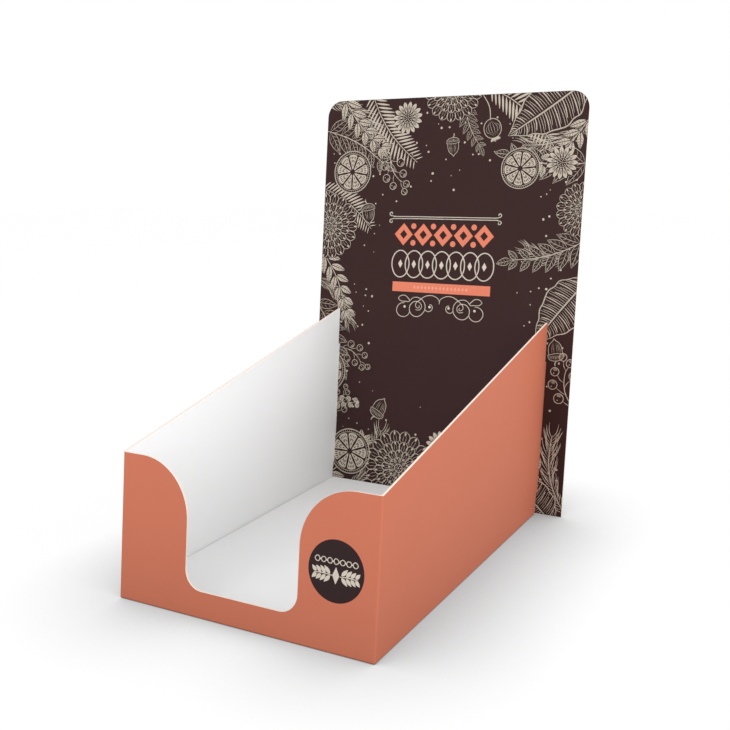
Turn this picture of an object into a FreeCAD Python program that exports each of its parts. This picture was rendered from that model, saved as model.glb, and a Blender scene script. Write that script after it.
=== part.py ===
import FreeCAD, Part
import os
import re
import Sketcher

# Counter display stand of fine-flute card, in two pieces that are put together without glue.
# The tray is one folded sheet: a front panel with an open window, two side panels that rise to
# the rear, a floor panel and the flaps that carry it. The header card is a flat sheet that
# stands behind the tray, with the locking tabs of the side panels pushed through its slits.
# Millimetres. X runs across the stand, Y from its front to its back, Z up from the table.

SIZES = [
    ("board", 1.5, "thickness of the card"),
    ("fit", 0.3, "play of the tabs in the slits of the header card, each side"),
    ("fold_radius", 1.2, "outer radius of a folded edge"),
    ("lean", 7.5, "degrees that the front panel and the header card lean back"),
    ("tray_width", 180.0, "across the outer faces of the side panels"),
    ("tray_depth", 257.0, "from the front fold to the header card, along the table"),
    ("front_height", 92.0, "front panel, along its lean"),
    ("side_height", 143.5, "rear tip of the side panels above the table"),
    ("rear_gap", 2.0, "rear edge of the side panels to the face of the header card"),
    ("heel_radius", 3.0, "rear bottom corner of the side panels"),
    ("window_width", 79.0, "window of the front panel, between its upright edges"),
    ("lip_height", 16.5, "strip below the window, along the lean"),
    ("window_corner", 12.0, "radius of the bottom corners of the window"),
    ("shoulder", 35.0, "radius where the front panel turns down into the window"),
    ("floor_rise", 16.0, "front fold to the place where the floor panel lies on its flaps"),
    ("floor_slot", 0.4, "cut between the floor panel and the side panels"),
    ("flap_width", 34.0, "flaps of the side panels under the floor panel"),
    ("flap_mitre", 14.0, "slanted ends of those flaps, along the depth"),
    ("header_width", 219.0, "header card, across"),
    ("header_height", 313.5, "header card, along its lean"),
    ("header_corner", 13.0, "radius of the top corners of the header card"),
    ("tab_low", 15.5, "lower edge of the locking tabs, along the lean"),
    ("tab_length", 99.5, "neck of the locking tabs, along the lean"),
    ("tab_barb", 1.5, "how far the head of a tab grips past each end of its slit"),
    ("tab_reach", 9.0, "how far a tab stands out behind the header card"),
    ("tab_slant", 6.0, "how much shorter than its neck a tab ends, at each end"),
    ("tab_corner", 4.0, "radius of the free corners of the tabs"),
]

# Half the width between the side panels, the foot of the tray's rear edge in the side view, and
# the upper edge of the tabs' necks along the lean.
INNER_HALF = "( tray_width / 2 - board )"
REAR_FOOT = "( tray_depth - rear_gap / cos(lean) )"
TAB_HIGH = "( tab_low + tab_length )"

# A length that only has to be longer than the material it cuts through.
BEYOND = 60.0
TOLERANCE = 1e-4


def add_size_sheet(doc):
    sheet = doc.addObject("Spreadsheet::Sheet", "sizes")
    for row, (name, value, note) in enumerate(SIZES, start=1):
        sheet.set(f"A{row}", name)
        sheet.set(f"B{row}", str(value))
        sheet.setAlias(f"B{row}", name)
        sheet.set(f"C{row}", note)
    doc.recompute()
    return sheet


def size(text):
    """Name the cells of the sheet in an expression that is written with bare size names."""
    names = "|".join(name for name, value, note in SIZES)
    return re.sub(rf"\b({names})\b", r"sizes.\1", text)


def add_body(doc, label):
    body = doc.addObject("PartDesign::Body", label)
    body.Label = label
    return body


def add_sketch(body, name, plane, shift=None):
    sketch = body.newObject("Sketcher::SketchObject", name)
    planes = {feature.Role: feature for feature in body.Origin.OriginFeatures}
    sketch.AttachmentSupport = [(planes[plane], "")]
    sketch.MapMode = "FlatFace"
    if shift:
        sketch.setExpression("AttachmentOffset.Base.z", size(shift))
    return sketch


def lean_sketch_back(sketch):
    """Turn a sketch on the XZ plane about its foot, into the plane of the front panel."""
    sketch.AttachmentOffset = FreeCAD.Placement(
        FreeCAD.Vector(), FreeCAD.Rotation(FreeCAD.Vector(1, 0, 0), -1.0)
    )
    sketch.setExpression("AttachmentOffset.Rotation.Angle", size("-1 * lean"))


def pin_point(sketch, geometry, end, across, up):
    """Hold a point of a sketch at two expressions, measured from the origin."""
    for kind, expression, axis in (("DistanceX", across, -2), ("DistanceY", up, -1)):
        value = float(sketch.evalExpression(size(expression)))
        if expression == "0":
            sketch.addConstraint(Sketcher.Constraint("PointOnObject", geometry, end, axis))
            continue
        index = sketch.addConstraint(Sketcher.Constraint(kind, -1, 1, geometry, end, value))
        sketch.setExpression(f"Constraints[{index}]", size(expression))


def draw_outline(sketch, corners):
    """Draw one closed outline. A corner is (across, up), or (across, up, radius, turn) where an
    arc starts there: turn is 1 where the arc turns to the left and -1 to the right."""
    points = [
        FreeCAD.Vector(*(float(sketch.evalExpression(size(text))) for text in corner[:2]), 0)
        for corner in corners
    ]
    spans = []
    for index, corner in enumerate(corners):
        start = points[index]
        stop = points[(index + 1) % len(points)]
        if len(corner) == 2:
            spans.append((sketch.addGeometry(Part.LineSegment(start, stop)), 1, 2))
            continue
        radius = float(sketch.evalExpression(size(corner[2])))
        turn = corner[3]
        chord = stop - start
        side = FreeCAD.Vector(-chord.y, chord.x, 0).normalize() * turn
        rise = (radius ** 2 - (chord.Length / 2) ** 2) ** 0.5
        centre = start + chord * 0.5 + side * rise
        crown = centre - side * radius
        ends = (start, crown, stop) if turn > 0 else (stop, crown, start)
        arc = sketch.addGeometry(Part.Arc(*ends))
        index = sketch.addConstraint(Sketcher.Constraint("Radius", arc, radius))
        sketch.setExpression(f"Constraints[{index}]", size(corner[2]))
        spans.append((arc, 1, 2) if turn > 0 else (arc, 2, 1))
    for index, (geometry, first, last) in enumerate(spans):
        following, next_first, next_last = spans[(index + 1) % len(spans)]
        sketch.addConstraint(
            Sketcher.Constraint("Coincident", geometry, last, following, next_first)
        )
        pin_point(sketch, geometry, first, *corners[index][:2])


def add_extrusion(body, kind, name, sketch, length, symmetric=False, reverse=False):
    feature = body.newObject(f"PartDesign::{kind}", name)
    feature.Profile = sketch
    if symmetric:
        feature.SideType = "Symmetric"
    feature.Reversed = reverse
    feature.setExpression("Length", size(length))
    sketch.Visibility = False
    body.Document.recompute()
    return feature


def cut(body, name, sketch, length, symmetric=False, reverse=False):
    """Pocket a sketch, and stop if it took nothing away."""
    before = body.Shape.Volume
    feature = add_extrusion(body, "Pocket", name, sketch, length, symmetric, reverse)
    if not body.Shape.Volume < before - TOLERANCE:
        raise RuntimeError(f"{name} cuts nothing")
    return feature


def round_edges(body, name, radius, is_wanted):
    """Fillet every edge whose points all pass the test."""
    base = body.Tip
    names = [
        f"Edge{number}"
        for number, edge in enumerate(base.Shape.Edges, start=1)
        if all(is_wanted(point) for point in edge.discretize(5))
    ]
    if not names:
        raise RuntimeError(f"{name} finds no edge")
    feature = body.newObject("PartDesign::Fillet", name)
    feature.Base = (base, names)
    feature.setExpression("Radius", size(radius))
    body.Document.recompute()
    return feature


def behind(along, out):
    """A point by its distance up the leaning face of the header card and out behind it, as
    distances back and up in the side view."""
    back = f"tray_depth + ( {along} ) * sin(lean) + ( {out} ) * cos(lean)"
    up = f"( {along} ) * cos(lean) - ( {out} ) * sin(lean)"
    return back, up


def near(value, target):
    return abs(value - target) < TOLERANCE


def is_at(sketch, corners):
    """A test that a point lies on one of the corners of the side view."""
    places = [[float(sketch.evalExpression(size(text))) for text in corner] for corner in corners]
    return lambda point: any(near(point.y, back) and near(point.z, up) for back, up in places)


def add_folded_form(body):
    """The side view of the folded sheet, drawn out to its width, with the tabs at its back."""
    tab_end = "board + tab_reach"
    past_card = "board + fit"
    tab_foot = behind("tab_low + tab_slant", tab_end)
    tab_head = behind(f"{TAB_HIGH} - tab_slant", tab_end)
    heel = (REAR_FOOT, "0")
    profile = add_sketch(body, "side_view", "YZ_Plane")
    draw_outline(profile, [
        ("0", "0"),
        heel,
        behind("tab_low", "-1 * rear_gap"),
        behind("tab_low", past_card),
        behind("tab_low - tab_barb", past_card),
        tab_foot,
        tab_head,
        behind(f"{TAB_HIGH} + tab_barb", past_card),
        behind(TAB_HIGH, past_card),
        behind(TAB_HIGH, "-1 * rear_gap"),
        (f"{REAR_FOOT} + side_height * tan(lean)", "side_height"),
        ("front_height * sin(lean)", "front_height * cos(lean)"),
    ])
    add_extrusion(body, "Pad", "folded_form", profile, "tray_width", symmetric=True)
    round_edges(body, "tab_corners", "tab_corner", is_at(profile, [tab_foot, tab_head]))
    round_edges(body, "heels", "heel_radius", is_at(profile, [heel]))


def cut_inner_space(body):
    """The space behind the front panel, above a floor that rises onto its flaps."""
    above = f"( side_height + {BEYOND} )"
    inner_face = "{} * tan(lean) + board / cos(lean)".format
    space = add_sketch(body, "inner_space", "YZ_Plane")
    draw_outline(space, [
        (inner_face("board"), "board"),
        ("floor_rise", "2 * board"),
        (f"tray_depth + {BEYOND}", "2 * board"),
        (f"tray_depth + {BEYOND}", above),
        (inner_face(above), above),
    ])
    cut(body, "tray_space", space, "tray_width - 2 * board", symmetric=True)


def cut_window(body):
    """The window of the front panel, with the flat tops of the two legs beside it."""
    edge = "( window_width / 2 )"
    bend = f"( {edge} + shoulder )"
    corner = f"( {edge} - window_corner )"
    above = f"front_height + {BEYOND}"
    window = add_sketch(body, "window_outline", "XZ_Plane")
    lean_sketch_back(window)
    draw_outline(window, [
        (f"-1 * {INNER_HALF}", above),
        (f"-1 * {INNER_HALF}", "front_height"),
        (f"-1 * {bend}", "front_height", "shoulder", -1),
        (f"-1 * {edge}", "front_height - shoulder"),
        (f"-1 * {edge}", "lip_height + window_corner", "window_corner", 1),
        (f"-1 * {corner}", "lip_height"),
        (corner, "lip_height", "window_corner", 1),
        (edge, "lip_height + window_corner"),
        (edge, "front_height - shoulder", "shoulder", -1),
        (bend, "front_height"),
        (INNER_HALF, "front_height"),
        (INNER_HALF, above),
    ])
    cut(body, "window", window, "2 * board")


def cut_under_floor(body):
    """Under the floor panel: the wedge at its front fold, and the space between the flaps."""
    wedge = add_sketch(body, "front_wedge", "YZ_Plane")
    draw_outline(wedge, [
        ("2 * board", "0"),
        ("floor_rise", "0"),
        ("floor_rise", "board"),
    ])
    cut(body, "floor_wedge", wedge, "tray_width - 2 * board", symmetric=True)

    flap = "( tray_width / 2 - flap_width )"
    past_rear = f"tray_depth + {BEYOND}"
    right_side = [
        (INNER_HALF, "floor_rise"),
        (flap, "floor_rise + flap_mitre"),
        (flap, f"{REAR_FOOT} - flap_mitre"),
        (INNER_HALF, REAR_FOOT),
        (INNER_HALF, past_rear),
    ]
    left_side = [(f"-1 * {across}", back) for across, back in reversed(right_side)]
    between = add_sketch(body, "between_flaps", "XY_Plane")
    draw_outline(between, right_side + left_side)
    cut(body, "under_floor", between, "board", reverse=True)


def cut_floor_slots(body):
    """The floor panel is free of the side panels along both edges."""
    slots = add_sketch(body, "floor_edges", "XY_Plane", shift="board")
    for side in ("", "-1 * "):
        draw_outline(slots, [
            (f"{side}( {INNER_HALF} - floor_slot )", "floor_rise"),
            (f"{side}{INNER_HALF}", "floor_rise"),
            (f"{side}{INNER_HALF}", f"tray_depth + {BEYOND}"),
            (f"{side}( {INNER_HALF} - floor_slot )", f"tray_depth + {BEYOND}"),
        ])
    cut(body, "floor_slots", slots, "2 * board", reverse=True)


def round_folds(body, sheet):
    """The folds between the panels are round outside."""
    half = sheet.tray_width / 2
    slope = float(sheet.evalExpression("tan(lean)"))

    def is_on_a_fold(point):
        on_side = near(abs(point.x), half)
        on_front = near(point.y, point.z * slope)
        return (on_side and on_front) or (near(point.z, 0) and (on_side or near(point.y, 0)))

    round_edges(body, "folds", "fold_radius", is_on_a_fold)


def add_tray(doc, sheet):
    body = add_body(doc, "tray")
    add_folded_form(body)
    cut_inner_space(body)
    cut_window(body)
    cut_under_floor(body)
    cut_floor_slots(body)
    round_folds(body, sheet)
    return body


def add_header_card(doc):
    """A flat card that stands on the rear edge of its foot, because it leans back."""
    body = add_body(doc, "header_card")
    half = "( header_width / 2 )"
    foot = "board * tan(lean)"
    outline = add_sketch(body, "card_outline", "XZ_Plane")
    draw_outline(outline, [
        (f"-1 * {half}", foot),
        (half, foot),
        (half, "header_height - header_corner", "header_corner", 1),
        (f"{half} - header_corner", "header_height"),
        (f"-1 * ( {half} - header_corner )", "header_height", "header_corner", 1),
        (f"-1 * {half}", "header_height - header_corner"),
    ])
    add_extrusion(body, "Pad", "card", outline, "board", reverse=True)

    # A slit fits the neck of a tab. The longer head is pushed through and springs out behind.
    inner = f"( {INNER_HALF} - fit )"
    outer = "( tray_width / 2 + fit )"
    low = "tab_low - fit"
    high = f"{TAB_HIGH} + fit"
    slits = add_sketch(body, "slit_outlines", "XZ_Plane")
    for side in ("", "-1 * "):
        draw_outline(slits, [
            (f"{side}{inner}", low),
            (f"{side}{outer}", low),
            (f"{side}{outer}", high),
            (f"{side}{inner}", high),
        ])
    cut(body, "slits", slits, "3 * board", symmetric=True)
    return body


def place_pieces(tray, header_card):
    """Centre the stand over the origin, and lean the header card back behind the tray."""
    depth = "( tray_depth + header_height * sin(lean) + board * cos(lean) )"
    tray.setExpression("Placement.Base.y", size(f"-1 * {depth} / 2"))
    header_card.Placement = FreeCAD.Placement(
        FreeCAD.Vector(), FreeCAD.Rotation(FreeCAD.Vector(1, 0, 0), -1.0)
    )
    header_card.setExpression("Placement.Base.y", size(f"tray_depth - {depth} / 2"))
    header_card.setExpression("Placement.Rotation.Angle", size("-1 * lean"))


def check(doc, bodies):
    for item in doc.Objects:
        if {"Invalid", "Error"} & set(item.State):
            raise RuntimeError(f"{item.Name} is {item.State}")
    for body in bodies:
        if body.Shape.isNull() or not body.Shape.isValid() or len(body.Shape.Solids) != 1:
            raise RuntimeError(f"{body.Label} is not one valid solid")


doc = FreeCAD.newDocument("counter_display_stand")
sheet = add_size_sheet(doc)
tray = add_tray(doc, sheet)
header_card = add_header_card(doc)
place_pieces(tray, header_card)
doc.recompute()
check(doc, [tray, header_card])

os.makedirs("parts", exist_ok=True)
for body in (tray, header_card):
    body.Shape.exportStep(f"parts/{body.Label}.step")
    box = body.Shape.BoundBox
    print(
        f"{body.Label}: {body.Shape.Volume / 1000:.2f} cm3,"
        f" x {box.XMin:.2f} to {box.XMax:.2f}, y {box.YMin:.2f} to {box.YMax:.2f},"
        f" z {box.ZMin:.2f} to {box.ZMax:.2f}"
    )
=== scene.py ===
"""Looks of the cardboard counter display stand: card, print, light and camera."""

import math
import random

import bpy
from mathutils import Matrix, Vector


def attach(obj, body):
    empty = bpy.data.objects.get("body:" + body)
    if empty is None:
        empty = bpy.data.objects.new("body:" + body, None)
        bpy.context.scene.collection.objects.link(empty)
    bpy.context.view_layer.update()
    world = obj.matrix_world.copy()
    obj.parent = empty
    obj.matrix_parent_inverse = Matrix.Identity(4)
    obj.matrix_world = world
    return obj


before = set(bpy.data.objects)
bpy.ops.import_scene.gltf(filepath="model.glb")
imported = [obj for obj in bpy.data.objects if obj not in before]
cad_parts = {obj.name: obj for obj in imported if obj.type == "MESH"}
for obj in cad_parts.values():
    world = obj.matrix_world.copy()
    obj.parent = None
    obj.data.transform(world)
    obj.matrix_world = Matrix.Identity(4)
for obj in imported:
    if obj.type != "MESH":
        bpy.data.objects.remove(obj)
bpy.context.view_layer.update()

# Measures of the stand in millimetres, as in the part's source

MM = 0.001
LEAN = math.radians(7.5)
BOARD = 1.5
FOLD_RADIUS = 1.2
LINER = 0.18
PRINT_BLEED = 12.0
TRAY_HALF = 90.0
STAND_HALF_DEPTH = 150.0
FRONT_FOLD_Y = -149.704
HEADER_FOOT_Y = 107.296
HEADER_HALF = 109.5
HEADER_HIGH = 313.5
HEADER_CORNER = 13.0
BADGE_CENTRE = complex(63.45, 46.5)
BADGE_RADIUS = 17.6

# A pen line of width 1 has this half width, and its ridge stands this high above the card.
# Fills have their tops at these heights and reach down into the card by the root, each a hair
# above the one before, and each level lifts a motif over the one that it covers.

PEN_HALF = 0.46
PEN_RIDGE = 0.04
FILL_TOPS = {"ground": 0.005, "ink": 0.03, "fleck": 0.04}
HAIR = 0.00002
INK_ROOT = 0.25
LEVEL = 0.05

# Seeds between the border and the middle: their number, least gap and range of radius, where
# they fall across and up the card, and the height and half sizes of the place in the middle
# that they leave free. Its rim is soft: a share of its half sizes, with a random share on top.

SEED_COUNT = 240
SEED_GAP = 3.6
SEED_RADIUS = (0.3, 1.0)
SEED_ACROSS = (-104, 104)
SEED_UP = (8, 304)
CLEAR_MIDDLE = 150
CLEAR_HALF_WIDTH = 62
CLEAR_HALF_HEIGHT = 92
CLEAR_SHARE = 0.86
CLEAR_BLUR = 0.34

# Varnished card: patterns in millimetres, and the roughness of bare board, of print and of ink

FIBRE = 0.5
FIBRE_RELIEF = 0.04
RELIEF_SHARE = 0.12
INK_CLOUD = 60.0
INK_MOTTLE = 2.0
BARE_ROUGHNESS = 0.85
PRINT_ROUGHNESS = 0.55
INK_ROUGHNESS = 0.5
VARNISH = {"IOR": 1.45, "Specular IOR Level": 0.12}
WHITE_BOARD = ("#f4f4f4", "#fbfbfb")

# A surface is a cut edge where it faces less than this much along its panel's normal, and it
# belongs to the panel whose outer face is nearer than the board's thickness and a little more

EDGE_ON = 0.5
PANEL_DEPTH = 1.02 * BOARD

# Light of the room on the stand, and the lamps with their places in metres and power in watts

ROOM_LIGHT = 0.9
SOFT_LAMPS = (("soft lamp right", (2.26, 0.0, 0.92), 21.0),
              ("soft lamp front", (0.0, -2.26, 0.92), 17.0))
LAMP_SIZE = 1.6
LAMP_AIM = (0, 0, 0.1)

# The table top: its size in metres, the reach in millimetres of the contact shadow painted round the
# stand and of the light that it throws back, and how much light it throws near and far; its colour
# for rays that carry light is painted darker near the stand, as painted shade on the panels' feet

FLOOR_SIZE = 8.0
SHADOW_REACH = 90.0
FLOOR_GLOW = 1.01
GLOW_SHARE = 0.92
THROW_REACH = 250.0
THROW_NEAR = 0.05
THROW_FAR = 0.85

# The photograph's camera, with its place in metres and its turns in degrees

CAMERA_PLACE = (0.31946, -0.56831, 0.26506)
CAMERA_TURN = 29.088
CAMERA_DIP = 11.946
CAMERA_ROLL = -0.793
SENSOR_WIDTH = 36.0
FOCAL_LENGTH = 48.266
NEAR_CLIP = 0.02

# The hand that draws is a little unsteady, and the same in every run

HAND = random.Random(11)


# Small helpers

def linear(code, alpha=1.0):
    """The linear colour of an sRGB hex code."""
    shades = [int(code[i:i + 2], 16) / 255 for i in (1, 3, 5)]
    return tuple(v / 12.92 if v <= 0.04045 else ((v + 0.055) / 1.055) ** 2.4
                 for v in shades) + (alpha,)


def add_node(tree, kind, inputs=None, **settings):
    """Adds a node, sets its settings, and links or fills its inputs."""
    node = tree.nodes.new(kind)
    for name, value in settings.items():
        setattr(node, name, value)
    for name, value in (inputs or {}).items():
        if isinstance(value, bpy.types.NodeSocket):
            tree.links.new(value, node.inputs[name])
        else:
            node.inputs[name].default_value = value
    return node


def new_material(name):
    """An empty node material and its output node."""
    material = bpy.data.materials.new(name)
    material.use_nodes = True
    material.node_tree.nodes.clear()
    output = add_node(material.node_tree, "ShaderNodeOutputMaterial")
    return material, material.node_tree, output


def deselect_all():
    for thing in bpy.context.selected_objects:
        thing.select_set(False)


def select_only(piece):
    deselect_all()
    piece.select_set(True)
    bpy.context.view_layer.objects.active = piece


def edit_whole(*steps):
    """Runs each step in edit mode on all of the active mesh."""
    bpy.ops.object.mode_set(mode="EDIT")
    for step in steps:
        bpy.ops.mesh.select_all(action="SELECT")
        step()
    bpy.ops.object.mode_set(mode="OBJECT")


def face_outwards():
    bpy.ops.mesh.normals_make_consistent(inside=False)


def apply_place():
    bpy.ops.object.transform_apply(location=True, rotation=True, scale=True)


def join_all(pieces):
    """Joins the pieces into the first of them."""
    select_only(pieces[0])
    for piece in pieces[1:]:
        piece.select_set(True)
    if len(pieces) > 1:
        bpy.ops.object.join()
    return pieces[0]


# Card materials

def leaning_depth(tree, place, foot_y):
    """Depth in metres behind a face that leans back from the line y = foot_y on the table."""
    along = add_node(tree, "ShaderNodeVectorMath", operation="DOT_PRODUCT",
                     inputs={0: place, 1: (0, math.cos(LEAN), -math.sin(LEAN))})
    return add_node(tree, "ShaderNodeMath", operation="SUBTRACT",
                    inputs={0: along.outputs["Value"],
                            1: foot_y * MM * math.cos(LEAN)}).outputs[0]


def facing_forward(tree):
    """How squarely the surface faces along the leaning normal of the front and the header."""
    facing = add_node(tree, "ShaderNodeTexCoord").outputs["Normal"]
    forward = add_node(tree, "ShaderNodeVectorMath", operation="DOT_PRODUCT",
                       inputs={0: facing, 1: (0, -math.cos(LEAN), math.sin(LEAN))})
    return facing, add_node(tree, "ShaderNodeMath", operation="ABSOLUTE",
                            inputs={0: forward.outputs["Value"]}).outputs[0]


def coated_card(name, ink, edge, printed_side, cut_side):
    """Fine-flute card, offset printed on its outer liner and given a satin varnish.

    The varnish gives the print a soft sheen, the bare inner side stays a matt chalky white,
    and the die-cut edge shows the warmer core of the card.
    """
    material, tree, output = new_material(name)
    place = add_node(tree, "ShaderNodeTexCoord").outputs["Object"]
    printed = printed_side(tree, place)
    cut = cut_side(tree, place)

    # Paper fibres, a few tenths of a millimetre long, drawn at half a millimetre so that they show
    fibres = add_node(tree, "ShaderNodeTexNoise", inputs={
        "Vector": place, "Scale": 1 / (FIBRE * MM), "Detail": 3.0, "Roughness": 0.6})
    # Cloudy ink density, as a large solid print has: clouds about 60 mm apart, broken up by
    # finer mottle down to 7 mm
    clouds = add_node(tree, "ShaderNodeTexNoise", inputs={
        "Vector": place, "Scale": 1 / (INK_CLOUD * MM), "Detail": 3.0, "Roughness": 0.75})

    ink_tone = add_node(tree, "ShaderNodeMix", data_type="RGBA", inputs={
        "Factor": clouds.outputs["Fac"], "A": linear(ink[0]), "B": linear(ink[1])})
    bare_tone = add_node(tree, "ShaderNodeMix", data_type="RGBA", inputs={
        "Factor": fibres.outputs["Fac"], "A": linear(WHITE_BOARD[0]),
        "B": linear(WHITE_BOARD[1])})
    edge_tone = add_node(tree, "ShaderNodeMix", data_type="RGBA", inputs={
        "Factor": fibres.outputs["Fac"], "A": linear(edge[0]), "B": linear(edge[1])})
    unprinted = add_node(tree, "ShaderNodeMix", data_type="RGBA", inputs={
        "Factor": cut, "A": bare_tone.outputs["Result"], "B": edge_tone.outputs["Result"]})
    colour = add_node(tree, "ShaderNodeMix", data_type="RGBA", inputs={
        "Factor": printed, "A": unprinted.outputs["Result"], "B": ink_tone.outputs["Result"]})

    roughness = add_node(tree, "ShaderNodeMapRange", inputs={
        "Value": printed, "To Min": BARE_ROUGHNESS, "To Max": PRINT_ROUGHNESS})
    relief = add_node(tree, "ShaderNodeBump", inputs={
        "Height": fibres.outputs["Fac"], "Strength": RELIEF_SHARE,
        "Distance": FIBRE_RELIEF * MM})
    shader = add_node(tree, "ShaderNodeBsdfPrincipled", inputs={
        **VARNISH, "Base Color": colour.outputs["Result"],
        "Roughness": roughness.outputs["Result"], "Normal": relief.outputs["Normal"]})
    tree.links.new(shader.outputs["BSDF"], output.inputs["Surface"])
    return material


def tray_depths(tree, place):
    """Depths behind the tray's outer sides, behind its front, and above the table."""
    outward = add_node(tree, "ShaderNodeVectorMath", operation="ABSOLUTE", inputs={0: place})
    parts = add_node(tree, "ShaderNodeSeparateXYZ", inputs={0: outward.outputs[0]})
    height = add_node(tree, "ShaderNodeSeparateXYZ", inputs={0: place}).outputs["Z"]
    side = add_node(tree, "ShaderNodeMath", operation="SUBTRACT",
                    inputs={0: TRAY_HALF * MM, 1: parts.outputs["X"]}).outputs[0]
    return side, leaning_depth(tree, place, FRONT_FOLD_Y), height


def tray_print(tree, place):
    """One in the tray's outer liner, and under the floor only within the print's bleed."""
    side, front, height = tray_depths(tree, place)
    depths = add_node(tree, "ShaderNodeCombineXYZ", inputs={0: side, 1: front, 2: height})
    # Inside a rounded fold the skin lies where these three, as a vector, are one radius long
    near = add_node(tree, "ShaderNodeVectorMath", operation="SUBTRACT",
                    inputs={0: (FOLD_RADIUS * MM,) * 3, 1: depths.outputs[0]})
    kept = add_node(tree, "ShaderNodeVectorMath", operation="MAXIMUM",
                    inputs={0: near.outputs[0], 1: (0, 0, 0)})
    reach = add_node(tree, "ShaderNodeVectorMath", operation="LENGTH",
                     inputs={0: kept.outputs[0]})
    skin = add_node(tree, "ShaderNodeMath", operation="GREATER_THAN",
                    inputs={0: reach.outputs["Value"], 1: (FOLD_RADIUS - LINER) * MM})
    inset = add_node(tree, "ShaderNodeMath", operation="MINIMUM", inputs={0: side, 1: front})
    bleed = add_node(tree, "ShaderNodeMath", operation="LESS_THAN",
                     inputs={0: inset.outputs[0], 1: PRINT_BLEED * MM})
    return add_node(tree, "ShaderNodeMath", operation="MULTIPLY",
                    inputs={0: skin.outputs[0], 1: bleed.outputs[0]}).outputs[0]


def tray_cut(tree, place):
    """One where the surface faces along its own panel, as a cut edge does."""
    facing, forward = facing_forward(tree)
    side, front, _ = tray_depths(tree, place)
    parts = add_node(tree, "ShaderNodeSeparateXYZ", inputs={0: facing})
    sideways = add_node(tree, "ShaderNodeMath", operation="ABSOLUTE",
                        inputs={0: parts.outputs["X"]}).outputs[0]
    edges = []
    for along, depth in ((sideways, side), (forward, front)):
        edge_on = add_node(tree, "ShaderNodeMath", operation="LESS_THAN",
                           inputs={0: along, 1: EDGE_ON})
        in_panel = add_node(tree, "ShaderNodeMath", operation="LESS_THAN",
                            inputs={0: depth, 1: PANEL_DEPTH * MM})
        edges.append(add_node(tree, "ShaderNodeMath", operation="MULTIPLY", inputs={
            0: edge_on.outputs[0], 1: in_panel.outputs[0]}).outputs[0])
    return add_node(tree, "ShaderNodeMath", operation="MAXIMUM",
                    inputs={0: edges[0], 1: edges[1]}).outputs[0]


def header_print(tree, place):
    """One in the liner of the header card's front face."""
    depth = leaning_depth(tree, place, HEADER_FOOT_Y)
    return add_node(tree, "ShaderNodeMath", operation="LESS_THAN",
                    inputs={0: depth, 1: LINER * MM}).outputs[0]


def header_cut(tree, place):
    """One on the header card's edges, which face neither forwards nor backwards."""
    return add_node(tree, "ShaderNodeMath", operation="LESS_THAN",
                    inputs={0: facing_forward(tree)[1], 1: EDGE_ON}).outputs[0]


def dress_card():
    """Gives each piece of card its material, and hands back the header card's."""
    coral = coated_card("coral varnished board", ("#c27056", "#c7745b"), ("#f3e0d2", "#fbeee2"),
                        tray_print, tray_cut)
    brown = coated_card("dark brown varnished board", ("#331f1e", "#372322"),
                        ("#efe4da", "#f8f0e8"), header_print, header_cut)
    for node, material in (("tray", coral), ("header_card", brown)):
        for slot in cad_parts[node].material_slots:
            slot.material = material
    return brown


# Drawing tools for the print. A drawing lies flat, in millimetres, and a point on it is a
# complex number: the real part runs to the right and the imaginary part up the card.

def bow(start, end, rise, count=5):
    """Points on a shallow arc from start to end, which bows to its left by rise."""
    step = end - start
    left = 1j * step / abs(step)
    return [start + step * i / (count - 1) + left * rise * math.sin(math.pi * i / (count - 1))
            for i in range(count)]


def ring(centre, radius, count=8, squash=1.0):
    """Points round a circle or an upright oval."""
    return [centre + radius * complex(squash * math.cos(math.tau * i / count),
                                      math.sin(math.tau * i / count)) for i in range(count)]


def turned(degrees):
    """The direction at that angle from the drawing's right."""
    return complex(math.cos(math.radians(degrees)), math.sin(math.radians(degrees)))


def softened(points):
    """More points on a smooth closed curve through the given ones."""
    smooth = []
    count = len(points)
    for i, here in enumerate(points):
        before, after, beyond = (points[(i + step) % count] for step in (-1, 1, 2))
        for t in (0, 1 / 3, 2 / 3):
            smooth.append(here + t * (after - before) / 2
                          + t * t * (before - 2.5 * here + 2 * after - beyond / 2)
                          + t ** 3 * (3 * here - before - 3 * after + beyond) / 2)
    return smooth


def start_drawing():
    """A sheet for pen lines, and a list of filled shapes for each kind of fill."""
    bpy.ops.curve.primitive_bezier_curve_add(location=(0, 0, 0))
    lines = bpy.context.active_object
    lines.data.splines.clear()
    lines.data.bevel_depth = PEN_HALF
    lines.data.bevel_resolution = 0
    lines.data.resolution_u = 3
    return {"lines": lines, "ground": [], "ink": [], "fleck": []}


def pen(drawing, points, width=0.8, closed=False, taper=0.4):
    """A pen line through the points, thinner towards its open ends."""
    last = len(points) - 1
    spline = drawing["lines"].data.splines.new("BEZIER")
    spline.bezier_points.add(last)
    spline.use_cyclic_u = closed
    for i, (knot, point) in enumerate(zip(spline.bezier_points, points)):
        point += complex(HAND.uniform(-0.1, 0.1), HAND.uniform(-0.1, 0.1))
        knot.co = (point.real, point.imag, 0)
        knot.handle_left_type = knot.handle_right_type = "AUTO"
        swell = 1 if closed else taper + (1 - taper) * math.sin(math.pi * i / last)
        knot.radius = width * swell


def fill(drawing, points, kind="ink", corners=False):
    """A filled shape: ink, a fleck of bare card on ink, or the bare ground under a motif."""
    drawing[kind].append(points if corners else softened(points))


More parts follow.
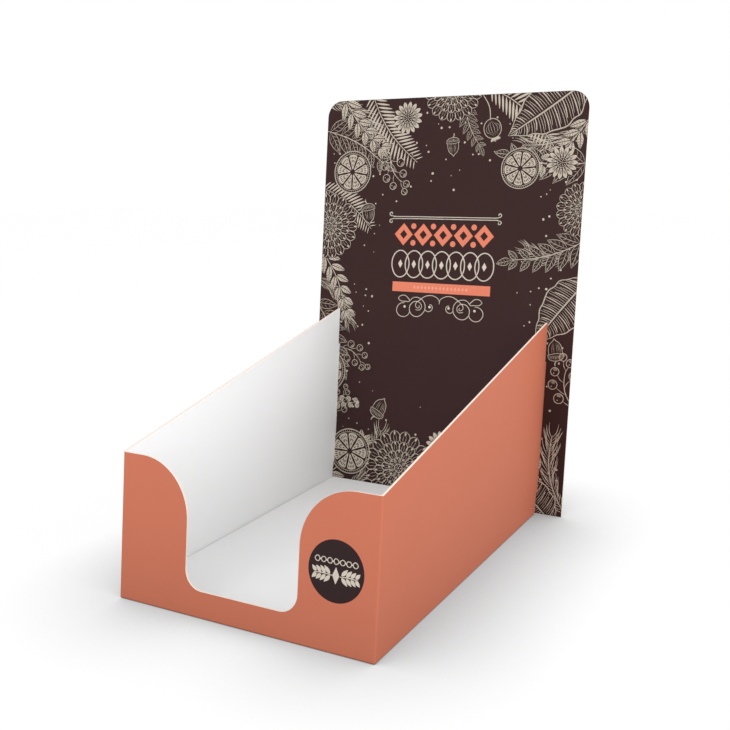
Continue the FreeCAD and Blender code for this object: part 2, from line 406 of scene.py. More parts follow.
def finish_drawing(name, drawing, inks):
    """Turns a drawing into one flat mesh of closed shapes, each with its own ink."""
    lines = drawing["lines"]
    made = []
    if lines.data.splines:
        select_only(lines)
        bpy.ops.object.convert(target="MESH")
        lines = bpy.context.active_object
        edit_whole(lambda: bpy.ops.mesh.fill_holes(sides=4),
                   lambda: bpy.ops.transform.resize(value=(1, 1, PEN_RIDGE / PEN_HALF),
                                                    center_override=(0, 0, 0)),
                   face_outwards)
        lines.data.materials.append(inks["ink"])
        made.append(lines)
    else:
        bpy.data.objects.remove(lines)
    for kind, top in FILL_TOPS.items():
        if not drawing[kind]:
            continue
        # Each shape is a hair higher than the one before, so that no two tops share a plane
        corners, faces = [], []
        for step, points in enumerate(drawing[kind]):
            faces.append(range(len(corners), len(corners) + len(points)))
            corners += [(p.real, p.imag, top + step * HAIR) for p in points]
        mesh = bpy.data.meshes.new(kind)
        mesh.from_pydata(corners, [], [list(face) for face in faces])
        shapes = bpy.data.objects.new(kind, mesh)
        bpy.context.collection.objects.link(shapes)
        select_only(shapes)
        edit_whole(lambda: bpy.ops.mesh.extrude_region_move(
            TRANSFORM_OT_translate={"value": (0, 0, -INK_ROOT)}), face_outwards)
        mesh.materials.append(inks[kind])
        made.append(shapes)
    drawn = join_all(made)
    drawn.name = name
    return drawn


# Motifs of the border

def leaf_rim(root, tip, width, count=6):
    """Points round a leaf, from its root along its left side to the tip and back."""
    axis = tip - root
    left = 1j * axis / abs(axis)
    rise = [(i / count, math.sin(math.pi * (i / count) ** 0.8)) for i in range(1, count)]
    return ([root] + [root + axis * t + left * width / 2 * h for t, h in rise] + [tip]
            + [root + axis * t - left * width / 2 * h for t, h in reversed(rise)])


def leaf(drawing, root, tip, width, veins=4, line=0.7):
    """A leaf in outline, with its midrib and side veins."""
    axis = tip - root
    rim = leaf_rim(root, tip, width)
    half = len(rim) // 2
    fill(drawing, rim, "ground")
    pen(drawing, rim[:half + 1], line)
    pen(drawing, rim[half:] + rim[:1], line)
    for i in range(1, veins + 1):
        t = i / (veins + 1.4)
        for side in (1, -1):
            reach = 0.43 * side * width * math.sin(math.pi * (t + 0.16) ** 0.8)
            end = root + axis * (t + 0.16 + 1j * reach / abs(axis))
            pen(drawing, bow(root + axis * t, end, side * 0.3, 3), line * 0.65)
    pen(drawing, bow(root, tip, 0.02 * abs(axis)), line)


def solid_leaf(drawing, root, tip, width, gap=0.35, flecks=5):
    """A filled leaf of two halves, with bare card as its midrib and hatched with bare flecks."""
    axis = tip - root
    way = axis / abs(axis)
    fill(drawing, leaf_rim(root - way * 0.6, tip + way * 0.6, width + 1.6), "ground")
    for side in (1, -1):
        left = 1j * way * side
        fill(drawing, [root + axis * t + left * (gap + width / 2 * h) for t, h in (
            (0.02, 0), (0.15, 0.5), (0.4, 0.95), (0.66, 0.8), (0.88, 0.34), (1, 0), (0.5, 0))],
             corners=True)
        for i in range(flecks):
            t = (i + 1) / (flecks + 1)
            spot = root + axis * t + left * gap
            hatch = way * turned(side * 40) * width * 0.62 * math.sin(math.pi * t)
            fill(drawing, [spot + hatch * v for v in (0.15, 0.6 + 0.09j, 1, 0.6 - 0.09j)],
                 "fleck", corners=True)


def along_stem(stem, i):
    """The direction in which a stem grows at its point i."""
    way = stem[min(i + 1, len(stem) - 1)] - stem[max(i - 1, 0)]
    return way / abs(way)


def draw_branch(inks):
    """A stem with pairs of veined leaves, 89 mm long."""
    drawing = start_drawing()
    stem = bow(0, 74, 5, 13)
    pen(drawing, stem, 1.2, taper=0.6)
    for i in range(1, 12, 2):
        for side in (1, -1):
            tip = stem[i] + along_stem(stem, i) * turned(side * 46) * (25 - 1.1 * i)
            leaf(drawing, stem[i], tip, 9.5 - 0.35 * i)
    leaf(drawing, stem[-1], stem[-1] + 15, 7)
    return finish_drawing("branch motif", drawing, inks)


def draw_fern(inks):
    """A frond of narrow filled leaflets, 84 mm long."""
    drawing = start_drawing()
    stem = bow(0, 80, 6, 22)
    pen(drawing, stem, 1.1, taper=0.5)
    for i in range(1, 21):
        long = 4 + 13 * math.sin(math.pi * (0.15 + 0.8 * i / 21))
        for side in (1, -1):
            way = along_stem(stem, i) * turned(side * 56)
            root = stem[i] + way * 0.8
            fill(drawing, [root + way * long * v for v in (
                0, 0.3 + 0.06j, 0.7 + 0.055j, 1, 0.75 - 0.04j, 0.3 - 0.05j)])
    return finish_drawing("fern motif", drawing, inks)


def draw_laurel(inks):
    """A stem with filled, flecked leaves, 80 mm long."""
    drawing = start_drawing()
    stem = bow(0, 66, -4, 7)
    pen(drawing, stem, 1.0, taper=0.6)
    for i in range(1, 7):
        for side in (1, -1):
            way = along_stem(stem, i) * turned(side * 38)
            solid_leaf(drawing, stem[i] + way * 1.6, stem[i] + way * (19 - 1.2 * i), 5.6)
    solid_leaf(drawing, stem[-1] + 1.2, stem[-1] + 12.5, 5)
    return finish_drawing("laurel motif", drawing, inks)


def petal(drawing, way, inner, outer, width, lines=2, line=0.75):
    """A pointed petal in outline, with fine lines along it."""
    long = outer - inner
    for side in (1, -1):
        pen(drawing, [way * complex(r, side * w * width) for r, w in (
            (inner, 0.2), (inner + 0.4 * long, 0.5), (inner + 0.8 * long, 0.36), (outer, 0.0))],
            line)
    for i in range(lines):
        shift = (i - (lines - 1) / 2) * width * 0.28
        pen(drawing, [way * complex(inner + t * long, shift * s)
                      for t, s in ((0.05, 0.7), (0.35, 1.0), (0.7, 0.8))], line * 0.6)


def draw_dahlia(inks):
    """A full round flower of four rings of petals, 54 mm across."""
    drawing = start_drawing()
    fill(drawing, ring(0, 26.6, 18), "ground")
    for row, (inner, outer, count) in enumerate(((18, 27, 18), (12, 19.5, 16),
                                                 (7, 13.5, 12), (3.4, 8, 9))):
        for i in range(count):
            way = turned(360 * (i + 0.5 * (row % 2)) / count)
            petal(drawing, way, inner, outer, math.tau * outer / count * 0.86)
            fill(drawing, [way * complex(inner + (outer - inner) * t, s) for t, s in (
                (0.62, 0), (0.8, 0.7), (0.95, 0), (0.8, -0.7))])
    pen(drawing, ring(0, 3.0), 0.8, closed=True)
    for i in range(6):
        fill(drawing, ring(1.8 * turned(60 * i), 0.42, 5))
    fill(drawing, ring(0, 0.6, 6))
    return finish_drawing("dahlia motif", drawing, inks)


def draw_daisy(inks):
    """A flower of filled petals round a dotted centre, 32 mm across."""
    drawing = start_drawing()
    fill(drawing, ring(0, 15.0, 12), "ground")
    for i in range(15):
        way = turned(24 * i)
        fill(drawing, [way * v for v in (5.4, 9 + 1.5j, 13 + 2.0j, 15.8, 13 - 2.0j, 9 - 1.5j)])
        for shift, start, end in ((-0.75, 6.6, 11.5), (0.0, 5.8, 13.8), (0.75, 7.2, 12.4)):
            fill(drawing, [way * complex(r, s + shift) for r, s in (
                (start, 0), ((start + end) / 2, 0.25), (end, 0), ((start + end) / 2, -0.25))],
                 "fleck", corners=True)
    pen(drawing, ring(0, 4.8, 10), 0.8, closed=True)
    for count, radius in ((10, 3.4), (5, 1.8), (1, 0)):
        for i in range(count):
            fill(drawing, ring(radius * turned(360 * i / count), 0.5, 5))
    return finish_drawing("daisy motif", drawing, inks)


def draw_slice(inks):
    """A slice of a round fruit: rind, filled segments and bare pips, 38 mm across."""
    drawing = start_drawing()
    fill(drawing, ring(0, 18.8, 16), "ground")
    pen(drawing, ring(0, 18.6, 16), 1.0, closed=True)
    pen(drawing, ring(0, 16.4, 16), 0.6, closed=True)
    for i in range(54):
        way = turned(360 * i / 54)
        pen(drawing, bow(way * 16.8, way * 18.2, 0, 3), 0.5)
    for i in range(9):
        way = turned(40 * i)
        fill(drawing, [way * v for v in (2.2, 8 + 1.9j, 13.8 + 4.1j, 15.4 + 1.5j, 15.4 - 1.5j,
                                         13.8 - 4.1j, 8 - 1.9j)])
        for r, s, long in ((9.5, 1.1, 1.9), (9.2, -1.1, 1.6), (12.6, 2.4, 1.7), (12.8, 0.8, 1.8),
                           (12.9, -0.8, 1.5), (12.4, -2.4, 1.7), (6.0, 0.0, 1.7), (10, 0, 1.2)):
            fill(drawing, [way * complex(r + long * u, s + 0.48 * v) for u, v in (
                (-1, 0), (0.2, 1), (1, 0), (0.2, -1))], "fleck", corners=True)
    return finish_drawing("slice motif", drawing, inks)


def draw_berries(inks):
    """A spray of round berries on thin stalks, 40 mm long."""
    drawing = start_drawing()
    stem = bow(0, 30, 4, 7)
    pen(drawing, stem, 1.0)
    for i, (angle, long) in enumerate(((52, 13), (-50, 12), (44, 14), (-46, 13), (30, 12),
                                       (-34, 12), (2, 11))):
        root = stem[i]
        centre = root + turned(angle) * long
        size = 4.1 - 0.16 * i
        fill(drawing, ring(centre, size), "ground")
        pen(drawing, bow(root, centre - turned(angle) * size, 0.8, 3), 0.7)
        pen(drawing, ring(centre, size), 0.8, closed=True)
        for shift in (0.0, 0.9, 1.8):
            pen(drawing, [centre + (size - 0.9 - shift * 0.8) * turned(a)
                          for a in (-75, -40, -5, 30)], 0.6)
        fill(drawing, ring(centre + size * 0.42 * turned(135), 0.5, 5))
    return finish_drawing("berry motif", drawing, inks)


def draw_broad_leaf(inks):
    """A broad leaf shaded with close hatching, 62 mm long."""
    drawing = start_drawing()

    def rim(t, side, reach=1.0):
        wave = 1 + 0.06 * math.sin(math.tau * 5 * t)
        return complex(62 * t, side * reach * 17 * wave * math.sin(math.pi * t ** 0.75))

    fill(drawing, [rim(i / 12, 1) for i in range(13)]
         + [rim(i / 12, -1) for i in range(11, 0, -1)], "ground")
    for side in (1, -1):
        pen(drawing, [rim(i / 12, side) for i in range(13)], 1.1)
        for i in range(1, 34):
            t = i / 36
            end = rim(t + 0.05, side, 0.97 if i % 3 else 0.8)
            pen(drawing, bow(complex(62 * t, side * 0.7), end, side * 0.5, 3),
                0.55 if i % 4 else 1.1, taper=0.7)
    pen(drawing, bow(-9, 60, 0.8, 7), 1.5, taper=0.5)
    return finish_drawing("broad leaf motif", drawing, inks)


def draw_acorn(inks):
    """An acorn with a cross-hatched cup, 24 mm long."""
    drawing = start_drawing()
    nut = [complex(x, y) for x, y in ((0, 7.6), (7, 7.3), (12, 5.2), (15.4, 1.2), (17.2, 0),
                                      (15.4, -1.2), (12, -5.2), (7, -7.3), (0, -7.6))]
    cup = [complex(x, y) for x, y in ((0.4, 9.2), (-3.2, 8.2), (-5.8, 4.6), (-6.4, 0),
                                      (-5.8, -4.6), (-3.2, -8.2), (0.4, -9.2))]
    fill(drawing, nut, "ground")
    fill(drawing, cup, "ground")
    pen(drawing, nut, 1.0, taper=0.8)
    for y in (-5.2, -3.6, -2.0, 1.4, 3.4):
        pen(drawing, [complex(1.4, y * 1.1), complex(7, y), complex(12.4, y * 0.62)], 0.55)
    pen(drawing, cup, 1.0)
    pen(drawing, bow(0.4 + 9.2j, 0.4 - 9.2j, 0.9, 5), 0.9, taper=0.8)
    for i in range(-4, 5):
        for tilt in (1.6, -1.6):
            pen(drawing, bow(complex(0.1, 2 * i), complex(-5.6 + 0.4 * abs(i), 1.75 * i + tilt),
                             0.3, 3), 0.5)
    pen(drawing, bow(-6.4, -12 + 2j, -1, 3), 1.5, taper=0.7)
    return finish_drawing("acorn motif", drawing, inks)


def draw_round_leaves(inks):
    """A drooping twig of round filled leaves, 62 mm long."""
    drawing = start_drawing()
    stem = bow(0, 58, -7, 8)
    pen(drawing, stem, 0.9)
    for i in range(1, 8):
        for side in (1, -1):
            size = 5.4 - 0.36 * i
            way = turned(side * 66)
            centre = stem[i] + way * (size + 0.6)
            fill(drawing, ring(centre, size + 0.7), "ground")
            for half in (1, -1):
                fill(drawing, [centre + way * size * complex(r, half * s) for r, s in (
                    (-0.98, 0.05), (-0.75, 0.55), (-0.2, 0.95), (0.5, 0.85), (0.97, 0.06),
                    (0, 0.07))], corners=True)
                fill(drawing, [centre + way * size * complex(r, half * s) for r, s in (
                    (-0.6, 0.2), (0.1, 0.55), (0.7, 0.3), (0.1, 0.35))], "fleck", corners=True)
                fill(drawing, [centre + way * size * complex(r, half * s) for r, s in (
                    (-0.5, 0.55), (0.0, 0.8), (0.5, 0.6), (0.0, 0.66))], "fleck", corners=True)
    fill(drawing, ring(stem[-1] + 3.0, 2.2, 6))
    return finish_drawing("round leaf motif", drawing, inks)


def draw_plume(inks):
    """A plume of long fine barbs, 76 mm long."""
    drawing = start_drawing()
    stem = bow(0, 60, 7, 31)
    pen(drawing, stem[::3], 1.1, taper=0.5)
    for i in range(1, 30):
        long = 8 + 9 * math.sin(math.pi * i / 34)
        for side in (1, -1):
            way = along_stem(stem, i) * turned(side * (24 + 10 * math.sin(i)))
            pen(drawing, bow(stem[i], stem[i] + way * long, side * 1.2, 3), 0.7, taper=0.3)
    return finish_drawing("plume motif", drawing, inks)


def draw_poppy_head(inks):
    """A ribbed seed head with its crown and stalk, 52 mm long."""
    drawing = start_drawing()
    fill(drawing, ring(0, 10, 12, 1.06), "ground")
    pen(drawing, bow(-38, -9.5, 3, 6), 1.3, taper=0.8)
    pen(drawing, ring(0, 10, 12, 1.06), 1.0, closed=True)
    for k in (-0.75, -0.45, -0.15, 0.2, 0.55, 0.85):
        pen(drawing, [complex(-8.6 * math.cos(k), 3.2 * k), complex(0, 10 * k),
                      complex(8.4 * math.cos(k), 4.6 * k)], 0.6)
    for i in range(-3, 4):
        root = complex(10.2, 1.1 * i)
        fill(drawing, [root, root + complex(1.6, 0.4 * i + 1.0), root + complex(3.6, 0.6 * i),
                       root + complex(1.6, 0.4 * i - 1.0)])
    return finish_drawing("poppy head motif", drawing, inks)


def card_outline():
    """The header card's outline as a thick block, for trimming the print where it bleeds off."""
    inset, thick = 0.2, 4
    bpy.ops.mesh.primitive_cube_add(size=1, location=(0, HEADER_HIGH / 2, 0), scale=(
        2 * HEADER_HALF - inset, HEADER_HIGH - 2 * inset, thick))
    block = bpy.context.active_object
    block.name = "card outline"
    select_only(block)
    apply_place()
    for face in block.data.polygons:
        face.select = False
    for edge in block.data.edges:
        ends = [block.data.vertices[v].co for v in edge.vertices]
        upright = abs(ends[0].z - ends[1].z) > thick / 2
        edge.select = upright and min(end.y for end in ends) > HEADER_HIGH / 2
    bpy.context.tool_settings.mesh_select_mode = (False, True, False)
    bpy.ops.object.mode_set(mode="EDIT")
    bpy.ops.mesh.bevel(offset=HEADER_CORNER, segments=10, affect="EDGES")
    bpy.ops.object.mode_set(mode="OBJECT")
    return block


def place_motif(motif, x, up, turn, size, mirrored, level, outline):
    """A copy of a motif at its place on the card, trimmed where it runs over the card's edge."""
    copy = motif.copy()
    copy.data = motif.data.copy()
    bpy.context.collection.objects.link(copy)
    copy.location = (x, up, level * LEVEL)
    copy.rotation_euler = (0, 0, math.radians(turn))
    copy.scale = (size, -size if mirrored else size, 1)
    select_only(copy)
    apply_place()
    if mirrored:
        edit_whole(face_outwards)
    margin, foot = 4, 1
    over = any(abs(v.co.x) > HEADER_HALF - margin or not foot < v.co.y < HEADER_HIGH - margin
               for v in copy.data.vertices)
    if over:
        trim = copy.modifiers.new("trim", "BOOLEAN")
        trim.operation = "INTERSECT"
        trim.solver = "MANIFOLD"
        trim.object = outline
        bpy.ops.object.modifier_apply(modifier="trim")
    return copy


def lift(drawn, level):
    """Lifts a finished drawing over the one that it lies on."""
    select_only(drawn)
    drawn.location.z = level * LEVEL
    apply_place()


def stand_up(piece, name, foot_y):
    """Tips a flat print onto the leaning card, from millimetres to metres."""
    select_only(piece)
    piece.name = name
    piece.location = (0, foot_y * MM, 0)
    piece.rotation_euler = (math.radians(90) - LEAN, 0, 0)
    piece.scale = (MM, MM, MM)
    apply_place()
    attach(piece, "root")


def print_border(inks):
    """The botanical border round the header card."""
    outline = card_outline()
    motifs = {"branch": draw_branch(inks), "fern": draw_fern(inks), "laurel": draw_laurel(inks),
              "dahlia": draw_dahlia(inks), "daisy": draw_daisy(inks), "slice": draw_slice(inks),
              "berries": draw_berries(inks), "broad": draw_broad_leaf(inks),
              "acorn": draw_acorn(inks), "rounds": draw_round_leaves(inks),
              "plume": draw_plume(inks), "poppy": draw_poppy_head(inks)}
    # Each motif's place: across and up the card in millimetres, turn in degrees, size,
    # mirrored, and its level above the card where motifs overlap
    layout = {
        "top_left": (("plume", -112, 314, -34, 1.05, False, 0), ("fern", -70, 320, -52, 0.9, True, 0),
                     ("branch", -112, 290, -26, 0.85, False, 1),
                     ("laurel", -98, 322, -50, 0.9, False, 2), ("slice", -84, 256, 10, 0.9, False, 3),
                     ("daisy", -36, 298, 10, 0.8, False, 3),
                     ("berries", -50, 270, -64, 0.8, True, 1)),
        "left": (("fern", -114, 244, -34, 0.75, False, 0), ("plume", -112, 168, -48, 0.8, False, 0),
                 ("laurel", -114, 196, -60, 0.9, True, 1), ("branch", -116, 152, -62, 0.85, False, 2),
                 ("dahlia", -104, 212, 0, 1.0, False, 3), ("acorn", -68, 226, -80, 0.7, True, 1),
                 ("slice", -100, 92, 25, 0.95, False, 3), ("berries", -86, 112, -30, 0.7, False, 1)),
        "top_middle": (("branch", 12, 308, -66, 0.5, True, 1), ("dahlia", 2, 318, 8, 0.9, False, 3),
                       ("acorn", 4, 278, -84, 0.6, False, 1)),
        "top_right": (("fern", 30, 320, -40, 0.9, False, 0), ("plume", 112, 292, -162, 0.9, False, 0),
                      ("branch", 114, 262, -186, 0.85, False, 1),
                      ("laurel", 114, 300, -132, 0.8, True, 1),
                      ("broad", 108, 322, -146, 1.15, False, 2), ("slice", 60, 258, 25, 0.8, False, 3),
                      ("poppy", 36, 288, -70, 0.7, False, 3), ("daisy", 92, 262, 0, 0.75, False, 3)),
        "right": (("plume", 112, 196, 176, 0.75, False, 0), ("branch", 114, 206, -164, 0.8, False, 2),
                  ("broad", 118, 178, -128, 1.0, True, 1), ("dahlia", 110, 228, 12, 0.75, False, 3),
                  ("acorn", 97, 121, 100, 0.7, False, 3), ("berries", 112, 84, 104, 0.9, False, 3),
                  ("plume", 112, 2, 103, 1.0, False, 0)),
        "bottom": (("plume", -74, -6, 62, 1.0, True, 0), ("laurel", -112, -6, 40, 0.95, False, 1),
                   ("branch", 4, -4, 48, 0.8, False, 1), ("plume", 30, -6, 80, 0.9, False, 0),
                   ("fern", 60, -8, 118, 0.9, True, 0), ("broad", 104, -6, 138, 0.9, False, 2),
                   ("rounds", -112, 52, 20, 0.75, True, 0), ("slice", -74, 26, 40, 1.0, False, 3),
                   ("dahlia", -28, 18, 0, 1.15, False, 3), ("daisy", 8, 40, 0, 0.8, False, 3),
                   ("acorn", -50, 62, 62, 0.75, False, 1), ("berries", -88, 54, 74, 0.65, False, 1),
                   ("slice", 46, 16, 10, 1.0, False, 3), ("laurel", 92, 24, 128, 0.7, False, 3)),
    }
    for part, places in layout.items():
        copies = [place_motif(motifs[kind], x, up, turn, size, mirrored, level, outline)
                  for kind, x, up, turn, size, mirrored, level in places]
        stand_up(join_all(copies), "header_print_" + part, HEADER_FOOT_Y)
    for spare in list(motifs.values()) + [outline]:
        bpy.data.objects.remove(spare)


def print_seeds(inks):
    """Seeds and dots scattered from the border towards the middle."""
    drawing = start_drawing()
    taken = []
    while len(taken) < SEED_COUNT:
        spot = complex(HAND.uniform(*SEED_ACROSS), HAND.uniform(*SEED_UP))
        outward = max(abs(spot.real) / CLEAR_HALF_WIDTH,
                      abs(spot.imag - CLEAR_MIDDLE) / CLEAR_HALF_HEIGHT)
        free = CLEAR_SHARE + CLEAR_BLUR * HAND.random()
        if outward < free or any(abs(spot - other) < SEED_GAP for other in taken):
            continue
        taken.append(spot)
        fill(drawing, ring(spot, HAND.uniform(*SEED_RADIUS), 6, HAND.uniform(0.8, 1.2)))
    stand_up(finish_drawing("seeds", drawing, inks), "header_print_seeds", HEADER_FOOT_Y)


def print_title(inks, coral, pale):
    """The middle of the header: rules, a band of lozenges, a chain of rings, a bar, a scroll."""
    drawing = start_drawing()
    # Double rule with curled ends
    upper_rule, lower_rule = 220.8, 219.2
    for side in (1, -1):
        for up, long in ((upper_rule, 44), (lower_rule, 45)):
            pen(drawing, bow(complex(0, up), complex(side * long, up), 0, 3), 0.8, taper=1)
        for way, up in ((1, upper_rule), (-1, lower_rule)):
            pen(drawing, [complex(side * x, up + way * y) for x, y in (
                (42, 0), (45.4, 0.4), (47.4, 1.4), (47, 3.0), (45.4, 2.9), (45.6, 1.6))], 0.9,
                taper=0.7)
    # Chain of thin interlaced rings
    chain_up, chain_step = 183.4, 12
    for i in range(-3, 4):
        centre = complex(chain_step * i, chain_up)
        pen(drawing, ring(centre, 10.6, 12, 0.72), 1.15, closed=True)
        fill(drawing, [centre + v for v in (3.4j, 1.9, -3.4j, -1.9)], corners=True)
    # Scroll: two arches that meet in the middle, then at each side a small curl, a spiral
    # with a flat loop above it, and an open curl at the end
    strokes = (
        ((0, 152.8), (0.2, 155.6), (3.6, 158.4), (8.8, 159.3), (13.6, 157.8), (17.4, 155),
         (20.4, 152), (19.6, 149.2), (17.2, 149.4), (17.6, 151)),
        ((36.2, 155.6), (34.4, 157.8), (30.4, 158.2), (27.6, 156.4), (26, 154), (29.6, 153.6),
         (33.6, 153.8), (36.2, 155.6)),
        ((26, 154), (23, 156.8), (18.8, 157.2), (14.2, 155), (12, 149.6), (14.4, 144.4),
         (19.2, 142), (24, 143.6), (26, 148), (24.4, 152), (20.6, 154), (16.8, 153),
         (15.2, 150.2), (17, 147.4), (20.6, 147.6)),
        ((30.2, 152.4), (34.2, 151.6), (37.2, 147.8), (36, 143.4), (31.6, 141.2), (27.2, 142.8),
         (25.4, 146)),
        ((12.4, 148.6), (10.8, 146.8), (7.8, 146.8), (5.8, 149.2), (6.8, 151.8), (8.6, 152)))
    for side in (1, -1):
        for points in strokes:
            pen(drawing, [complex(side * x, up) for x, up in points], 0.72, taper=0.75)
        for x, up in ((30.2, 149.4), (8.2, 150.2)):
            fill(drawing, ring(complex(side * x, up), 1.05, 6))
    stand_up(finish_drawing("title", drawing, inks), "header_title_lines", HEADER_FOOT_Y)

    # Band of broad coral lozenges and discs with bare centres, and a plain bar under the rings
    drawing = start_drawing()
    band_up, band_step = 206.8, 17.2
    for i in range(-2, 3):
        centre = complex(band_step * i, band_up)
        fill(drawing, [centre + v for v in (8.8j, 8, -8.8j, -8)], corners=True)
        fill(drawing, [centre + v for v in (3.6j, 3.2, -3.6j, -3.2)], "fleck", corners=True)
    for i in (-1.5, -0.5, 0.5, 1.5):
        for rise in (6.6, -6.6):
            fill(drawing, ring(complex(band_step * i, band_up + rise), 2.3, 8))
    bar_low, bar_high, bar_half = 161.3, 169, 42
    fill(drawing, [complex(x, up) for x, up in (
        (-bar_half, bar_low), (bar_half, bar_low), (bar_half, bar_high), (-bar_half, bar_high))],
         corners=True)
    stand_up(finish_drawing("band", drawing, dict(inks, ink=coral)), "header_title_band",
             HEADER_FOOT_Y)

    # Row of small pale lozenges on the bar
    drawing = start_drawing()
    dots_up, dots_step = 165.2, 3.2
    for i in range(-7, 8):
        spot = complex(dots_step * i, dots_up)
        fill(drawing, [spot + v for v in (1.5j, 1.1, -1.5j, -1.1)], corners=True)
    dots = finish_drawing("bar dots", drawing, {"ink": pale})
    lift(dots, 1)
    stand_up(dots, "header_title_dots", HEADER_FOOT_Y)


def print_badge(inks):
    """The dark disc on the right of the front panel, with a row of dots over two sprigs."""
    centre = BADGE_CENTRE
    drawing = start_drawing()
    fill(drawing, ring(centre, BADGE_RADIUS, 24), "ground")
    stand_up(finish_drawing("badge disc", drawing, inks), "front_badge_disc", FRONT_FOLD_Y)
    drawing = start_drawing()
    for i in range(7):
        spot = centre + complex(-12 + 4 * i, 5.4)
        pen(drawing, ring(spot, 1.5, 8), 0.7, closed=True)
        if i < 6:
            fill(drawing, ring(spot + 2, 0.5, 5))
    fill(drawing, [centre + v for v in (2.4j, 2.2 - 2.4j, -7.2j, -2.2 - 2.4j)], corners=True)
    for side in (1, -1):
        pen(drawing, [centre + complex(side * 2.4, -2.6), centre + complex(side * 8, -2.2),
                      centre + complex(side * 14, -2.6)], 1.0, taper=0.7)
        for i in range(4):
            root = centre + complex(side * (3.2 + 2.9 * i), -2.4)
            for above in (1, -1):
                way = complex(side * 0.67, above * 0.74)
                fill(drawing, leaf_rim(root + way * 0.7, root + way * (6.2 - 0.5 * i), 2.3, 4))
    sprig = finish_drawing("badge sprig", drawing, inks)
    lift(sprig, 1)
    stand_up(sprig, "front_badge_sprig", FRONT_FOLD_Y)


def printed_ink(name, shades):
    """Offset ink under the same satin varnish as the card, slightly uneven as a large print is."""
    material, tree, output = new_material(name)
    place = add_node(tree, "ShaderNodeTexCoord").outputs["Object"]
    # Ink mottle, about 2 mm from patch to patch
    mottle = add_node(tree, "ShaderNodeTexNoise", inputs={
        "Vector": place, "Scale": 1 / (INK_MOTTLE * MM), "Detail": 2.0, "Roughness": 0.5})
    tone = add_node(tree, "ShaderNodeMix", data_type="RGBA", inputs={
        "Factor": mottle.outputs["Fac"], "A": linear(shades[0]), "B": linear(shades[1])})
    shader = add_node(tree, "ShaderNodeBsdfPrincipled", inputs={
        **VARNISH, "Base Color": tone.outputs["Result"], "Roughness": INK_ROUGHNESS})
    tree.links.new(shader.outputs["BSDF"], output.inputs["Surface"])
    return material


def print_card(brown_card):
    """All the print. A ground or a fleck on the header shows the card's own dark brown."""
    cream = printed_ink("cream offset ink", ("#c3b8aa", "#d8cdbf"))
    stone = printed_ink("stone offset ink", ("#b2a798", "#c8bdad"))
    salmon = printed_ink("salmon offset ink", ("#d9795f", "#dd8166"))
    pale_salmon = printed_ink("pale salmon offset ink", ("#e79a80", "#e99e86"))
    badge_brown = printed_ink("dark brown offset ink", ("#2c1d1d", "#312122"))
    on_card = {"ink": cream, "ground": brown_card, "fleck": brown_card}
    print_border(dict(on_card, ink=stone))
    print_seeds(dict(on_card, ink=stone))
    print_title(on_card, salmon, pale_salmon)
    print_badge({"ink": cream, "ground": badge_brown, "fleck": badge_brown})


# Stage, light and camera

def seen_directly(tree):
    """One for rays from the camera and for reflections, zero for rays that carry light."""
    rays = add_node(tree, "ShaderNodeLightPath")
    seen = add_node(tree, "ShaderNodeMath", operation="MAXIMUM", inputs={
        0: rays.outputs["Is Camera Ray"], 1: rays.outputs["Is Glossy Ray"]})
    return add_node(tree, "ShaderNodeMath", operation="MAXIMUM", inputs={
        0: seen.outputs[0], 1: rays.outputs["Is Transmission Ray"]}).outputs[0]


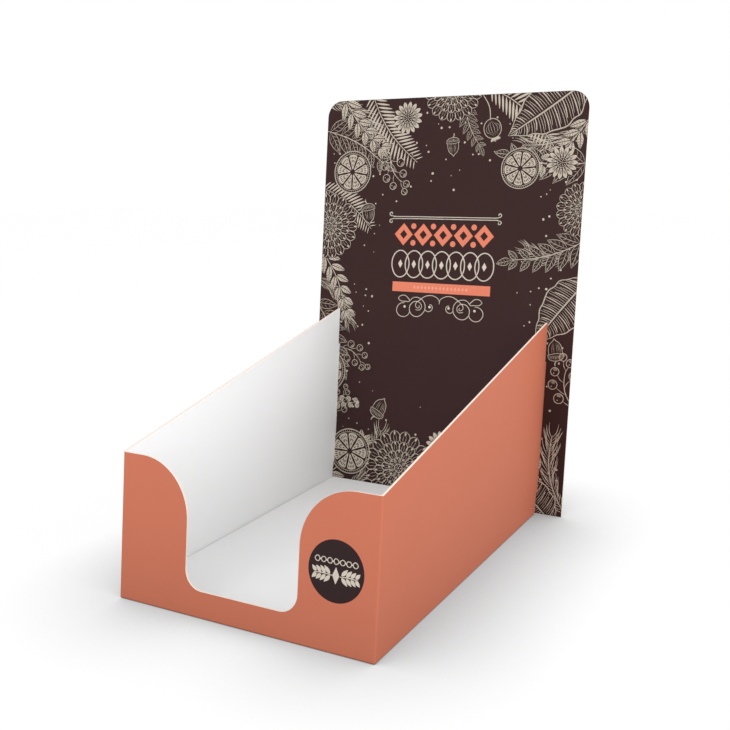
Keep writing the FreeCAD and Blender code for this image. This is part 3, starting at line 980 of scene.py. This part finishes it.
def lay_floor():
    """A white table top that fades into the white behind it, with the stand's shadow on it mostly
    painted by ambient occlusion and partly real.
    """
    bpy.ops.mesh.primitive_plane_add(size=FLOOR_SIZE, location=(0, 0, 0))
    floor = bpy.context.active_object
    floor.name = "floor"
    material, tree, output = new_material("white table top")

    # Next to the stand the table's colour for rays that carry light is painted darker, so it throws
    # back less light: painted shade at the foot of each panel
    place = add_node(tree, "ShaderNodeTexCoord").outputs["Object"]
    outward = add_node(tree, "ShaderNodeVectorMath", operation="ABSOLUTE", inputs={0: place})
    beyond = add_node(tree, "ShaderNodeVectorMath", operation="SUBTRACT",
                      inputs={0: outward.outputs[0], 1: (TRAY_HALF * MM, STAND_HALF_DEPTH * MM, 0)})
    beyond = add_node(tree, "ShaderNodeVectorMath", operation="MAXIMUM",
                      inputs={0: beyond.outputs[0], 1: (0, 0, 0)})
    away = add_node(tree, "ShaderNodeVectorMath", operation="LENGTH",
                    inputs={0: beyond.outputs[0]})
    shade = add_node(tree, "ShaderNodeMapRange", inputs={
        "Value": away.outputs["Value"], "From Max": THROW_REACH * MM,
        "To Min": THROW_NEAR, "To Max": THROW_FAR})
    painted_shade_throw = add_node(tree, "ShaderNodeBsdfDiffuse", inputs={"Color": shade.outputs["Result"]})

    paint = add_node(tree, "ShaderNodeBsdfDiffuse", inputs={"Color": linear("#f4f4f4")})
    # Seen by the camera, the table glows white and the glow is darkened by ambient occlusion near the
    # stand: a painted contact shadow, mixed with a small share of real lit paint
    painted_contact_shadow = add_node(tree, "ShaderNodeAmbientOcclusion", samples=16,
                      inputs={"Distance": SHADOW_REACH * MM})
    painted_shadow_glow = add_node(tree, "ShaderNodeEmission", inputs={"Color": painted_contact_shadow.outputs["Color"],
                                                        "Strength": FLOOR_GLOW})
    shown = add_node(tree, "ShaderNodeMixShader",
                     inputs={0: GLOW_SHARE, 1: paint.outputs[0], 2: painted_shadow_glow.outputs[0]})
    both = add_node(tree, "ShaderNodeMixShader", inputs={
        0: seen_directly(tree), 1: painted_shade_throw.outputs[0], 2: shown.outputs[0]})
    tree.links.new(both.outputs[0], output.inputs["Surface"])
    floor.data.materials.append(material)


def light_room():
    """An even white room with two large soft lamps, low on the right and low in front."""
    world = bpy.data.worlds.new("white room")
    bpy.context.scene.world = world
    world.use_nodes = True
    tree = world.node_tree
    tree.nodes.clear()
    strength = add_node(tree, "ShaderNodeMapRange", inputs={
        "Value": seen_directly(tree), "To Min": ROOM_LIGHT, "To Max": 1.0})
    sky = add_node(tree, "ShaderNodeBackground", inputs={
        "Color": linear("#ffffff"), "Strength": strength.outputs["Result"]})
    output = add_node(tree, "ShaderNodeOutputWorld")
    tree.links.new(sky.outputs[0], output.inputs["Surface"])

    for name, place, power in SOFT_LAMPS:
        bpy.ops.object.light_add(type="AREA", location=place)
        lamp = bpy.context.active_object
        lamp.name = name
        lamp.data.shape = "DISK"
        lamp.data.size = LAMP_SIZE
        lamp.data.energy = power
        aim = Vector(LAMP_AIM) - lamp.location
        lamp.rotation_euler = aim.to_track_quat("-Z", "Y").to_euler()


def set_camera():
    """The camera of the photograph, found from the stand's corners and edges."""
    look = (Matrix.Rotation(math.radians(CAMERA_TURN), 3, "Z")
            @ Matrix.Rotation(math.radians(90 - CAMERA_DIP), 3, "X")
            @ Matrix.Rotation(math.radians(CAMERA_ROLL), 3, "Z"))
    bpy.ops.object.camera_add(location=CAMERA_PLACE, rotation=look.to_euler())
    camera = bpy.context.active_object
    camera.name = "camera"
    camera.data.sensor_width = SENSOR_WIDTH
    camera.data.lens = FOCAL_LENGTH
    camera.data.clip_start = NEAR_CLIP
    bpy.context.scene.camera = camera


deselect_all()
print_card(dress_card())
lay_floor()
light_room()
set_camera()
bpy.context.scene.view_settings.view_transform = "Standard"
